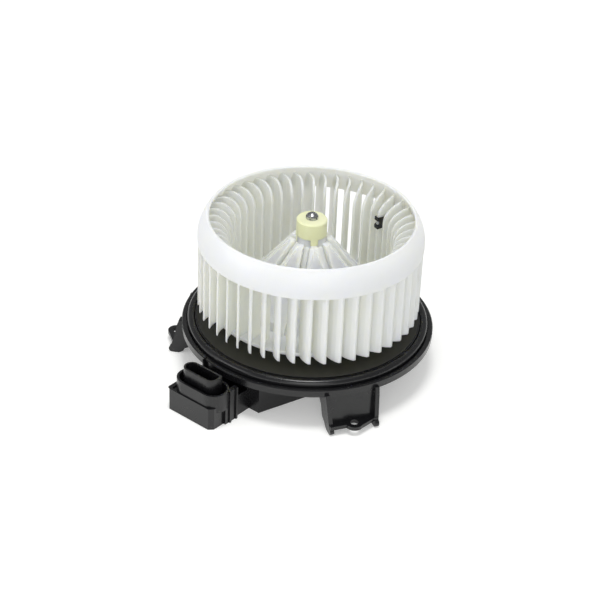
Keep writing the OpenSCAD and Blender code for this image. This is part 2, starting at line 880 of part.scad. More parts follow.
// Cup outline in plan, moved inwards by a distance
module cup_outline(inset) {
    y_end = -cup_end + inset;
    line_r = cup_r - inset;
    right_x = (line_r - sin(right_normal) * y_end) / cos(right_normal);
    left_x = (line_r - sin(left_normal) * y_end) / cos(left_normal);
    // the sides end just inside the circle, so that they cut it at a small angle
    join_r = line_r - 0.12;
    circle(r = line_r);
    polygon([
        [left_x, y_end],
        [right_x, y_end],
        join_r * [cos(right_normal), sin(right_normal)],
        [0, 0],
        join_r * [cos(left_normal), sin(left_normal)]
    ]);
}

// Everything below the middle of the dish's wall, which is where the walls under it end
module below_dish() {
    depth = wall_t / 2;
    rotate_extrude()
        polygon([
            [0, cup_bottom - 1],
            [0, floor_inner_z - depth],
            [collar_outer_r, floor_inner_z - depth],
            [floor_edge_r, floor_edge_z - depth],
            [bead_crest_r, rim_z - groove_d],
            [rim_r - 1, rim_z - groove_d],
            [rim_r - 1, cup_bottom - 1]
        ]);
}

module cup_walls() {
    intersection() {
        union() {
            translate([0, 0, cup_bottom])
                linear_extrude(rim_z + rim_z)
                    difference() {
                        cup_outline(0);
                        cup_outline(cup_t);
                    }
            for (p = screw_places)
                at_azimuth(p[1], p[0])
                    translate([0, 0, cover_top_z])
                        cylinder(r = boss_r, h = rim_z + rim_z);
        }
        below_dish();
    }
}

// Radial ribs between the cup and the skirt, under the dish
module under_ribs() {
    rib_low_z = skirt_z + 1;
    intersection() {
        difference() {
            for (i = [0 : under_rib_count - 1])
                at_azimuth((i + 0.5) * 360 / under_rib_count)
                    translate([cup_r - 1, -under_rib_t / 2, rib_low_z])
                        cube([floor_edge_r - cup_r + 3, under_rib_t, rim_z]);
            translate([0, 0, rib_low_z - 1])
                linear_extrude(rim_z + rim_z)
                    cup_outline(0.4);
        }
        below_dish();
    }
}

// Arm that carries the connector box, with a trough in its top
module arm() {
    wall = 2;
    difference() {
        block([arm_left, box_back, cup_bottom], [arm_right, -cup_end + 1, box_top]);
        block([arm_left + wall, box_back + wall, box_top - trough_d],
              [arm_right - wall, -cup_end - wall + 0.8, box_top + 1]);
    }
    // gusset that rises from the arm's floor to the rim's outer wall
    translate([0, 5 - rim_r, 0])
        rotate([90, 0, 0])
            linear_extrude(5.5)
                polygon([
                    [arm_left + 9, box_top - trough_d - 1],
                    [arm_left + 9, rim_z + 0.5],
                    [arm_left + 16, box_top - trough_d - 1]
                ]);
    // gusset between the arm's right-hand wall and the rim
    block([arm_right - wall, -cup_end - 2.4, box_top - 1],
          [arm_right, -cup_end + 1, skirt_z + 0.5]);
}

module mounting_flange() {
    color("darkslategray")
        difference() {
            union() {
                dish();
                for (a = foot_azimuths)
                    at_azimuth(a)
                        foot();
                cup_walls();
                under_ribs();
                arm();
            }
            for (p = screw_places)
                at_azimuth(p[1], p[0])
                    translate([0, 0, cover_top_z - 1])
                        cylinder(d = screw_d + 2 * seat_gap, h = screw_l);
            // passage for the bus bars through the arm and the end wall
            block([socket_x - tunnel_w / 2, box_back - 1, tunnel_z],
                  [socket_x + tunnel_w / 2, -cup_end + cup_t + 1, tunnel_z + tunnel_h]);
        }
}

module bottom_cover() {
    rib_r = cup_r - locating_ring_inset;
    color("dimgray") {
        difference() {
            union() {
                translate([0, 0, cover_z])
                    linear_extrude(cover_t)
                        cup_outline(cup_t + 0.2);
                tube(rib_r + locating_ring_w, rib_r, locating_ring_h, cover_top_z - eps);
            }
            for (p = screw_places)
                at_azimuth(p[1], p[0])
                    translate([0, 0, cover_z - 1])
                        cylinder(d = screw_d + 0.8, h = cover_t + 2);
            // slots that let the cooling air out round the end bell
            for (i = [0 : 5])
                at_azimuth(90 + (i - 2.5) * 24)
                    translate([14, -1.5, cover_z - 1])
                        cube([9, 3, cover_t + 2]);
            for (i = [0 : 5])
                at_azimuth(-90 + (i - 2.5) * 24)
                    translate([14, -1.5, cover_z - 1])
                        cube([9, 3, cover_t + 2]);
        }
    }
}

module cover_screws() {
    color("silver")
        for (p = screw_places)
            at_azimuth(p[1], p[0]) {
                difference() {
                    translate([0, 0, cover_z - screw_head_h - seat_gap])
                        cylinder(d = screw_head_d, h = screw_head_h);
                    for (turn = [0, 90])
                        rotate([0, 0, turn])
                            translate([-cross_l / 2, -cross_w / 2,
                                       cover_z - screw_head_h - cross_h + cross_depth])
                                cube([cross_l, cross_w, cross_h]);
                }
                translate([0, 0, cover_z - seat_gap - 0.4])
                    cylinder(d = screw_d, h = screw_l - 1);
            }
}

// Connector

// Stadium outline with its long axis along X
module stadium(length, width) {
    offset_x = (length - width) / 2;
    translate([-offset_x, 0])
        circle(d = width);
    translate([offset_x, 0])
        circle(d = width);
    translate([-offset_x, -width / 2])
        square([2 * offset_x, width]);
}

// Socket outline: a stadium whose right-hand back corner is nearly square, as a key
module socket_outline(inset) {
    length = socket_l - 2 * inset;
    width = socket_w - 2 * inset;
    corner = 1.6;
    stadium(length, width);
    translate([length / 2 - corner, width / 2 - corner])
        circle(r = corner);
    translate([0, 0])
        square([length / 2 - corner, width / 2]);
    translate([0, 0])
        square([length / 2, width / 2 - corner]);
}

// Outline of the connector box, with a large chamfer at the right-hand front corner
module box_outline(inset) {
    left = box_x - box_w / 2 + inset;
    right = box_x + box_w / 2 - inset;
    front = box_front + inset;
    corner = 1.2;
    polygon([
        [left, front + corner],
        [left + corner, front],
        [right - box_chamfer, front],
        [right, front + box_chamfer],
        [right, box_back - seat_gap - inset],
        [left, box_back - seat_gap - inset]
    ]);
}

module connector_housing() {
    box_left = box_x - box_w / 2;
    box_right = box_x + box_w / 2;
    back_y = box_back - seat_gap;
    rim = 1.6;
    lip_t = 1.4;
    fin_t = 1.4;
    collar_root_z = box_top - 4;
    collar_x = socket_x + collar_shift;
    collar_y = socket_y + collar_back;
    color("darkslategray") {
        difference() {
            union() {
                difference() {
                    union() {
                        translate([0, 0, cup_bottom])
                            linear_extrude(box_h)
                                box_outline(0);
                        block([box_left - box_lip, box_front + 1.5, box_top - lip_t],
                              [box_left + rim, back_y - 0.5, box_top]);
                    }
                    translate([0, 0, box_top - 1])
                        linear_extrude(2)
                            box_outline(rim);
                }
                translate([collar_x, collar_y, collar_root_z])
                    linear_extrude(collar_rise_z - collar_root_z)
                        stadium(collar_l, collar_w);
                // side latch: a plate with two upright fins
                block([box_right - 1.5, back_y - latch_d, cup_bottom],
                      [box_right + latch_t, back_y, collar_rise_z - 1]);
                for (y = [4, 10])
                    block([box_right, back_y - latch_d + y - fin_t / 2, cup_bottom],
                          [box_right + fin_reach, back_y - latch_d + y + fin_t / 2, collar_rise_z - 0.3]);
            }
            translate([0, 0, collar_floor])
                linear_extrude(collar_rise_z)
                    difference() {
                        translate([collar_x, collar_y])
                            stadium(collar_l - 2 * collar_t, collar_w - 2 * collar_t);
                        translate([socket_x, socket_y])
                            socket_outline(0.8);
                    }
            translate([socket_x, socket_y, socket_floor])
                linear_extrude(socket_top)
                    socket_outline(socket_t);
            // wiring space behind and under the terminals
            block([socket_x - tunnel_w / 2, socket_y - 4, tunnel_z],
                  [socket_x + tunnel_w / 2, back_y + 1, tunnel_z + tunnel_h]);
            for (x = terminal_side)
                translate([x - terminal_w / 2 - fit_gap, socket_y - terminal_t / 2 - fit_gap, tunnel_z])
                    cube([terminal_w + 2 * fit_gap, terminal_t + 2 * fit_gap, box_h + 2]);
        }
        translate([socket_x, socket_y, collar_floor - 1])
            linear_extrude(socket_top - collar_floor + 1)
                difference() {
                    socket_outline(0);
                    socket_outline(socket_t);
                }
    }
}

module terminal(x) {
    color("gold") {
        translate([x - terminal_w / 2, socket_y - terminal_t / 2, bar_z + bar_t + seat_gap])
            cube([terminal_w, terminal_t, terminal_tip_z - bar_z - bar_t - 1.2]);
        translate([x - terminal_w / 2 + 0.8, socket_y - terminal_t / 2, terminal_tip_z - 1.6])
            cube([terminal_w - 1.6, terminal_t, 1.6]);
    }
}

// Stamped bar from a terminal, along the cup's floor and up to the brush card
module bus_bar(x) {
    riser_y = -card_tongue_end - 0.9;
    low_end_y = socket_y - 1.6;
    color("goldenrod") {
        block([x - bar_w / 2, low_end_y, bar_z], [x + bar_w / 2, riser_y + bar_t, bar_z + bar_t]);
        block([x - bar_w / 2, riser_y, bar_z], [x + bar_w / 2, riser_y + bar_t, card_z - seat_gap]);
        block([x - bar_w / 2, riser_y, card_z - bar_t - seat_gap],
              [x + bar_w / 2, -can_r - 1.2, card_z - seat_gap]);
    }
}

// Motor

// Notch in the can's open end for the brush card's tongue
module can_notch() {
    block([socket_x - 8.6, -can_r - 2, -1], [socket_x + 8.6, -can_inner_r + 4, card_top + 0.4]);
}

module motor_can() {
    boss_top = can_top + bearing_boss_h;
    color("lightsteelblue")
        difference() {
            union() {
                translate([0, 0, 0])
                    cylinder(r = can_r, h = can_top - 1.5);
                translate([0, 0, can_top - 1.5])
                    cylinder(r1 = can_r, r2 = can_r - 1.5, h = 1.5);
                translate([0, 0, can_top - 1])
                    cylinder(r = bearing_boss_r, h = bearing_boss_h + 1);
            }
            translate([0, 0, -1])
                cylinder(r = can_inner_r, h = can_top - can_t + 1);
            translate([0, 0, can_top - can_t - 1])
                cylinder(r = bearing_r + seat_gap, h = boss_top - 1.2 - can_top + can_t + 1);
            translate([0, 0, can_top])
                cylinder(r = shaft_r + 0.8, h = bearing_boss_h + 2);
            can_notch();
            // cooling holes in the closed end
            for (i = [0 : 5])
                at_azimuth(i * 60, 19)
                    translate([0, 0, can_top - 3])
                        cylinder(r = 3.2, h = 5);
        }
}

module end_bell() {
    color("lightsteelblue")
        difference() {
            union() {
                translate([0, 0, bell_plate_z])
                    cylinder(r = can_inner_r - fit_gap, h = bell_plate_t);
                translate([0, 0, -bell_boss_drop])
                    cylinder(r = bearing_boss_r, h = bell_boss_drop + bell_plate_z + 0.5);
            }
            translate([0, 0, -bell_boss_drop + 1])
                cylinder(r = bearing_r + seat_gap, h = bell_boss_drop + bell_plate_t + 2);
            for (i = [0 : 3])
                at_azimuth(45 + i * 90, 20)
                    translate([0, 0, -1])
                        cylinder(r = 3, h = 5);
        }
}

module brush_card() {
    color("saddlebrown")
        translate([0, 0, card_z])
            linear_extrude(card_t)
                difference() {
                    union() {
                        circle(r = can_inner_r - 0.2);
                        translate([socket_x - 7.8, -card_tongue_end])
                            square([15.6, card_tongue_end - can_inner_r + 6]);
                    }
                    circle(r = commutator_r + 2.6);
                }
}

module magnet(azimuth) {
    color("dimgray")
        at_azimuth(azimuth)
            translate([0, 0, magnet_z])
                linear_extrude(magnet_h)
                    intersection() {
                        difference() {
                            circle(r = magnet_outer_r);
                            circle(r = magnet_inner_r);
                        }
                        polygon([
                            [0, 0],
                            [2 * can_r * cos(magnet_angle / 2), -2 * can_r * sin(magnet_angle / 2)],
                            [2 * can_r, -2 * can_r],
                            [2 * can_r, 2 * can_r],
                            [2 * can_r * cos(magnet_angle / 2), 2 * can_r * sin(magnet_angle / 2)]
                        ]);
                    }
}

// Spring clips that spread the magnets apart, one at each gap between them
module magnet_clips() {
    half_t = 0.4;
    clip_y = magnet_outer_r - 3.3;
    reach = (clip_y - half_t) / tan(magnet_angle / 2) - fit_gap;
    color("silver")
        for (side = [-1, 1])
            block([-reach, side * clip_y - half_t, magnet_z + 2],
                  [reach, side * clip_y + half_t, magnet_z + magnet_h - 2]);
}

module bearing(z, h) {
    color("peru")
        difference() {
            translate([0, 0, z])
                cylinder(r = bearing_r, h = h);
            translate([0, 0, z - 1])
                cylinder(r = shaft_r + run_gap, h = h + 2);
        }
}

module upper_bearing() {
    bearing(upper_bearing_z, upper_bearing_h);
}

module lower_bearing() {
    bearing(lower_bearing_z, lower_bearing_h);
}

module upper_retainer() {
    color("silver")
        tube(can_inner_r * 0.45, bearing_r - bearing_lip, upper_retainer_t,
             upper_bearing_z - upper_retainer_t - seat_gap);
}

module lower_retainer() {
    color("silver")
        tube(commutator_r + 1.6, bearing_r - bearing_lip, 0.8, 2.9 + seat_gap);
}

module thrust_pad() {
    color("ivory")
        translate([0, 0, -bell_boss_drop + 1 + seat_gap])
            cylinder(r = bearing_r - 0.5, h = bell_boss_drop - 1 + shaft_bottom_z - 2 * seat_gap);
}

// Square tube that guides a brush, closed at its outer end, with its foot on the card
module brush_tube(azimuth) {
    half_w = brush_w / 2 + tube_gap;
    half_h = brush_h / 2 + tube_gap;
    low_z = brush_mid_z - half_h - tube_wall;
    color("gold")
        at_azimuth(azimuth) {
            difference() {
                block([tube_start_r, -half_w - tube_wall, low_z],
                      [tube_end_r, half_w + tube_wall, brush_mid_z + half_h + tube_wall]);
                block([tube_start_r - 1, -half_w, brush_mid_z - half_h],
                      [tube_end_r - tube_wall, half_w, brush_mid_z + half_h]);
            }
            for (r = [tube_start_r + 2, tube_end_r - 6])
                block([r, -half_w - 0.4, card_top + seat_gap], [r + 3, half_w + 0.4, low_z + eps]);
        }
}

// Carbon brush with a hollow face that follows the commutator
module brush(azimuth) {
    color("darkslategray")
        difference() {
            at_azimuth(azimuth)
                block([commutator_r - 2, -brush_w / 2, brush_mid_z - brush_h / 2],
                      [brush_back_r, brush_w / 2, brush_mid_z + brush_h / 2]);
            translate([0, 0, 0])
                cylinder(r = brush_face_r, h = brush_mid_z + brush_h);
        }
}

// Coil spring behind a brush, as its outer sleeve
module brush_spring(azimuth) {
    low_r = brush_back_r + seat_gap;
    high_r = tube_end_r - tube_wall - seat_gap;
    color("silver")
        at_azimuth(azimuth)
            translate([0, 0, brush_mid_z])
                rotate([0, 90, 0])
                    difference() {
                        translate([0, 0, low_r])
                            cylinder(r = 2.4, h = high_r - low_r);
                        translate([0, 0, low_r - 1])
                            cylinder(r = 1.8, h = high_r - low_r + 2);
                    }
}

// Interference choke: a wound ferrite rod lying on the card
module choke(side) {
    rod_r = 2.3;
    coil_r = 3;
    y = side * (commutator_r + 8.2);
    color("chocolate")
        translate([0, y, card_top + seat_gap + coil_r])
            rotate([0, 90, 0]) {
                translate([0, 0, -7])
                    cylinder(r = rod_r, h = 14);
                translate([0, 0, -5])
                    cylinder(r = coil_r, h = 10);
            }
}

module capacitor() {
    color("darkorange")
        at_azimuth(135, 20.5)
            translate([-1.6, -3, card_top + seat_gap])
                cube([3.2, 6, 7]);
}

// Rubber rings between the motor and the flange
module isolator_top() {
    color("black")
        tube(collar_bore_r - 0.05, can_r + 0.05, isolator_h,
             collar_top - collar_lip_t - isolator_h - seat_gap);
}

module isolator_bottom() {
    inner = cup_r - locating_ring_inset - isolator_low_w;
    color("black")
        tube(inner + isolator_low_w - isolator_low_gap, inner,
             -cover_top_z + bell_plate_z - 2 * seat_gap, cover_top_z + seat_gap);
}

// Rotor

module shaft() {
    chamfer = 0.5;
    color("silver") {
        translate([0, 0, shaft_bottom_z])
            cylinder(r = shaft_r, h = shaft_top_z - shaft_bottom_z - chamfer);
        translate([0, 0, shaft_top_z - chamfer])
            cylinder(r1 = shaft_r, r2 = shaft_r - chamfer, h = chamfer);
    }
}

module slot_shape(grow) {
    neck = 1.6 + 2 * grow;
    translate([stack_r - 9 - grow, -2.4 - grow])
        square([7.4 + 2 * grow, 4.8 + 2 * grow]);
    if (grow == 0)
        translate([stack_r - 3, -neck / 2])
            square([6, neck]);
}

module armature_core() {
    color("gray")
        translate([0, 0, stack_z])
            linear_extrude(stack_h)
                difference() {
                    circle(r = stack_r);
                    circle(r = shaft_r + seat_gap);
                    for (i = [0 : slot_count - 1])
                        rotate([0, 0, i * 360 / slot_count])
                            slot_shape(0);
                }
}

module armature_windings() {
    color("orangered") {
        for (i = [0 : slot_count - 1])
            rotate([0, 0, i * 360 / slot_count])
                translate([0, 0, stack_z - 1])
                    linear_extrude(stack_h + 2)
                        slot_shape(-0.25);
        for (z = [stack_z - seat_gap - winding_h, stack_z + stack_h + seat_gap])
            translate([0, 0, z])
                rotate_extrude()
                    difference() {
                        translate([shaft_r + 4, 0])
                            square([winding_r - shaft_r - 4 + 2, winding_h]);
                        difference() {
                            translate([winding_r, -1])
                                square([4, winding_h + 2]);
                            translate([winding_r, winding_h / 2])
                                circle(r = winding_h / 2);
                        }
                    }
    }
}

module commutator() {
    riser_h = 1.6;
    bars = slot_count;
    color("peru")
        difference() {
            union() {
                translate([0, 0, commutator_z])
                    cylinder(r = commutator_r, h = commutator_h + riser_h);
                translate([0, 0, commutator_z + commutator_h])
                    cylinder(r = commutator_r + 1.4, h = riser_h);
            }
            translate([0, 0, commutator_z - 1])
                cylinder(r = shaft_r + seat_gap, h = commutator_h + riser_h + 2);
            for (i = [0 : bars - 1])
                rotate([0, 0, (i + 0.5) * 360 / bars])
                    block([commutator_r - 1, -0.3, commutator_z - 1],
                          [commutator_r + 3, 0.3, commutator_z + commutator_h + riser_h + 1]);
        }
}

module thrust_washer() {
    color("ivory")
        tube(bearing_r - bearing_lip - 0.5, shaft_r + seat_gap, 1, upper_bearing_z - 1.4);
}

mounting_flange();
bottom_cover();
cover_screws();
connector_housing();
terminal(terminal_side[0]);  // terminal_left
terminal(terminal_side[1]);  // terminal_right
bus_bar(terminal_side[0]);  // bus_bar_left
bus_bar(terminal_side[1]);  // bus_bar_right
motor_can();
end_bell();
brush_card();
magnet(-90);  // magnet_left
magnet(90);  // magnet_right
magnet_clips();
upper_bearing();
lower_bearing();
upper_retainer();
lower_retainer();
thrust_pad();
brush_tube(-90);  // brush_tube_left
brush_tube(90);  // brush_tube_right
brush_spring(-90);  // brush_spring_left
brush_spring(90);  // brush_spring_right
choke(-1);  // choke_front
choke(1);  // choke_back
capacitor();
isolator_top();
isolator_bottom();
brush(-90);  // brush_left
brush(90);  // brush_right
fan_wheel();
hub_insert();
shaft_retainer();
balance_clip();
shaft();
armature_core();
armature_windings();
commutator();
thrust_washer();
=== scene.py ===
import json
import math

import bmesh
import bpy
from mathutils import Matrix, Vector


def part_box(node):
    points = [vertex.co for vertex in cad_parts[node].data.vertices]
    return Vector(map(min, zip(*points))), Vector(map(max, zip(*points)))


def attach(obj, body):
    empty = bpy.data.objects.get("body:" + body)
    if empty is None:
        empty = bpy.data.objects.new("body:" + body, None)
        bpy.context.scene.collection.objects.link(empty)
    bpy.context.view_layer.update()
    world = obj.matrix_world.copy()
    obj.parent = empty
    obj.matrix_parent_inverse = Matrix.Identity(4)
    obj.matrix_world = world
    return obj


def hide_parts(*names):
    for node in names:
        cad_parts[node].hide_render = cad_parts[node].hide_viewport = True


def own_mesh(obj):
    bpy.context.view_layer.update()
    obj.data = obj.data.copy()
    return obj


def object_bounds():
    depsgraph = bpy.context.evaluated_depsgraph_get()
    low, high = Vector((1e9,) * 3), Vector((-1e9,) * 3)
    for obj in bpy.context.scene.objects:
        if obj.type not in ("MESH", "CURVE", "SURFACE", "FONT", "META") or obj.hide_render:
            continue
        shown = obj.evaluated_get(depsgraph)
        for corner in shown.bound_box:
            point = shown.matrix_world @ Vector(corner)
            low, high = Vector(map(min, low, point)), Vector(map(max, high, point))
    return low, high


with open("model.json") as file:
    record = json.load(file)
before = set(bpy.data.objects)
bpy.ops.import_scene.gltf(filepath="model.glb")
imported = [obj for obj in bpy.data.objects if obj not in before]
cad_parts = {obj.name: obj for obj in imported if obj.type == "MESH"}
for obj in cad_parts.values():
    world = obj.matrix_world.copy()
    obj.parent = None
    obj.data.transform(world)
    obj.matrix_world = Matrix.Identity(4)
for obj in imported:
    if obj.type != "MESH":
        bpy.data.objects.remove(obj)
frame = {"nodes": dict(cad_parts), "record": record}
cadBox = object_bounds()
nodes = frame["nodes"]
subparts = frame["record"]["subparts"]
print("frame loaded:", len(nodes), "nodes")


# colours, nodes and pieces

def linearColour(hexCode):
    channels = [int(hexCode[i:i + 2], 16) / 255 for i in (1, 3, 5)]
    return tuple(c / 12.92 if c <= 0.04045 else ((c + 0.055) / 1.055) ** 2.4 for c in channels) + (1.0,)


# inputs and links are given by a socket's name or its number
def addNode(tree, kind, settings=None, inputs=None, links=None):
    node = tree.nodes.new(kind)
    for name, value in (settings or {}).items():
        setattr(node, name, value)
    for socket, value in (inputs or {}).items():
        node.inputs[socket].default_value = value
    for socket, source in (links or {}).items():
        tree.links.new(source, node.inputs[socket])
    return node


def newMaterial(name):
    material = bpy.data.materials.new(name)
    material.use_nodes = True
    material.node_tree.nodes.clear()
    return material, material.node_tree


def finishPiece(name, shape, material):
    mesh = bpy.data.meshes.new(name)
    shape.to_mesh(mesh)
    shape.free()
    mesh.materials.append(material)
    piece = bpy.data.objects.new(name, mesh)
    bpy.context.collection.objects.link(piece)
    return piece


# a pattern's coordinates: one unit is the given size in mm along x, y and z
def patternPlace(tree, sizes):
    place = addNode(tree, "ShaderNodeTexCoord")
    scaled = addNode(tree, "ShaderNodeMapping", inputs={"Scale": [1000 / size for size in sizes]},
                     links={"Vector": place.outputs["Object"]})
    return scaled.outputs["Vector"]


# distance in metres from the shaft's line
def outFromMiddle(tree):
    place = addNode(tree, "ShaderNodeTexCoord")
    level = addNode(tree, "ShaderNodeVectorMath", settings={"operation": "MULTIPLY"},
                    inputs={1: (1, 1, 0)}, links={0: place.outputs["Object"]})
    reach = addNode(tree, "ShaderNodeVectorMath", settings={"operation": "LENGTH"},
                    links={0: level.outputs["Vector"]})
    return reach.outputs["Value"]


def setTones(ramp, span, look):
    for end, place, colour in zip(ramp.elements, span, (look["shade"], look["colour"])):
        end.position = place
        end.color = linearColour(colour)


# mouldings: a colour that clouds a little with the melt's flow, and a fine spark-eroded grain
# sizes are in mm, and the grain, 0.1 to 0.2 on a real one, is drawn coarser so that it shows

moulding = {
    "cloudSpan": (0.3, 0.7),             # where most of the noise lies
    "lightReach": (1.0, 0.95, 0.75),     # red, green and blue: blue is lost first inside a milky plastic
}


def mouldedPlastic(name, look):
    material, tree = newMaterial(name)
    spread = look["roughnessSpread"]
    clouds = addNode(tree, "ShaderNodeTexNoise", inputs={"Scale": 1.0, "Detail": 4.0, "Roughness": 0.55},
                     links={"Vector": patternPlace(tree, (look["cloudSize"],) * 3)})
    tone = addNode(tree, "ShaderNodeValToRGB", links={"Fac": clouds.outputs["Fac"]})
    setTones(tone.color_ramp, moulding["cloudSpan"], look)
    grain = addNode(tree, "ShaderNodeTexNoise", inputs={"Scale": 1.0, "Detail": 2.0, "Roughness": 0.6},
                    links={"Vector": patternPlace(tree, (look["grainSize"],) * 3)})
    gloss = addNode(tree, "ShaderNodeMapRange",
                    inputs={"From Min": moulding["cloudSpan"][0], "From Max": moulding["cloudSpan"][1],
                            "To Min": look["roughness"] - spread, "To Max": look["roughness"] + spread},
                    links={"Value": clouds.outputs["Fac"]})
    relief = addNode(tree, "ShaderNodeBump",
                     inputs={"Strength": look["grainStrength"], "Distance": look["grainDepth"] / 1000},
                     links={"Height": grain.outputs["Fac"]})
    colour, roughness = tone.outputs["Color"], gloss.outputs["Result"]
    # the dish's floor gets a duller finish and a painted reflection of the wheel, an olive colour
    if "dullFloorAndPaintedReflection" in look:
        colour, roughness = dullFloorAndPaintedReflection(tree, look["dullFloorAndPaintedReflection"], colour, roughness)
    shader = addNode(tree, "ShaderNodeBsdfPrincipled",
                     inputs={"IOR": look["ior"], "Subsurface Weight": look.get("scatter", 0.0),
                             "Subsurface Scale": look.get("scatterDepth", 0.0) / 1000,
                             "Subsurface Radius": moulding["lightReach"]},
                     links={"Base Color": colour, "Roughness": roughness,
                            "Normal": relief.outputs["Normal"]})
    addNode(tree, "ShaderNodeOutputMaterial", links={"Surface": shader.outputs["BSDF"]})
    return material


# the dish's floor has a duller, spark-eroded face and an olive colour that is a painted reflection of the
# pale wheel above it: all that lies within a radius and above a level
# a Mix node's sockets go by number, 2 and 3 for values and 6 and 7 for colours

def dullFloorAndPaintedReflection(tree, area, colour, roughness):
    radius, floor, edge = (area[size] / 1000 for size in ("radius", "level", "edge"))
    place = addNode(tree, "ShaderNodeTexCoord")
    split = addNode(tree, "ShaderNodeSeparateXYZ", links={"Vector": place.outputs["Object"]})
    within = addNode(tree, "ShaderNodeMapRange", inputs={"From Min": radius, "From Max": radius - edge},
                     links={"Value": outFromMiddle(tree)})
    above = addNode(tree, "ShaderNodeMapRange", inputs={"From Min": floor, "From Max": floor + edge},
                    links={"Value": split.outputs["Z"]})
    both = addNode(tree, "ShaderNodeMath", settings={"operation": "MULTIPLY"},
                   links={0: within.outputs["Result"], 1: above.outputs["Result"]})
    # painted reflection: the wheel's pale light painted as an olive colour on the dish's floor
    paintedReflection = addNode(tree, "ShaderNodeMix", settings={"data_type": "RGBA"},
                   inputs={7: linearColour(area["colour"])}, links={0: both.outputs["Value"], 6: colour})
    rough = addNode(tree, "ShaderNodeMix", inputs={3: area["roughness"]},
                    links={0: both.outputs["Value"], 2: roughness})
    return paintedReflection.outputs[2], rough.outputs[0]


# metals: a tone that varies with wear, and a drawn or turned grain in the gloss and the relief
# sizes are in mm, and the grain is drawn coarser than real scratches, so that it shows

metalwork = {
    "wearSpan": (0.35, 0.65),
    "grainSpan": (0.3, 0.7),
    "roughnessSpread": 0.06,
    "grainStrength": 0.25,
}


def workedMetal(name, look):
    material, tree = newMaterial(name)
    spread = metalwork["roughnessSpread"]
    grain = addNode(tree, "ShaderNodeTexNoise", inputs={"Scale": 1.0, "Detail": 3.0, "Roughness": 0.6},
                    links={"Vector": patternPlace(tree, look["grainSize"])})
    wear = addNode(tree, "ShaderNodeTexNoise", inputs={"Scale": 1.0, "Detail": 3.0, "Roughness": 0.5},
                   links={"Vector": patternPlace(tree, (look["wearSize"],) * 3)})
    tone = addNode(tree, "ShaderNodeValToRGB", links={"Fac": wear.outputs["Fac"]})
    setTones(tone.color_ramp, metalwork["wearSpan"], look)
    gloss = addNode(tree, "ShaderNodeMapRange",
                    inputs={"From Min": metalwork["grainSpan"][0], "From Max": metalwork["grainSpan"][1],
                            "To Min": look["roughness"] - spread, "To Max": look["roughness"] + spread},
                    links={"Value": grain.outputs["Fac"]})
    relief = addNode(tree, "ShaderNodeBump",
                     inputs={"Strength": metalwork["grainStrength"], "Distance": look["grainDepth"] / 1000},
                     links={"Height": grain.outputs["Fac"]})
    shader = addNode(tree, "ShaderNodeBsdfPrincipled", inputs={"Metallic": look.get("metallic", 1.0)},
                     links={"Base Color": tone.outputs["Color"], "Roughness": gloss.outputs["Result"],
                            "Normal": relief.outputs["Normal"]})
    addNode(tree, "ShaderNodeOutputMaterial", links={"Surface": shader.outputs["BSDF"]})
    return material


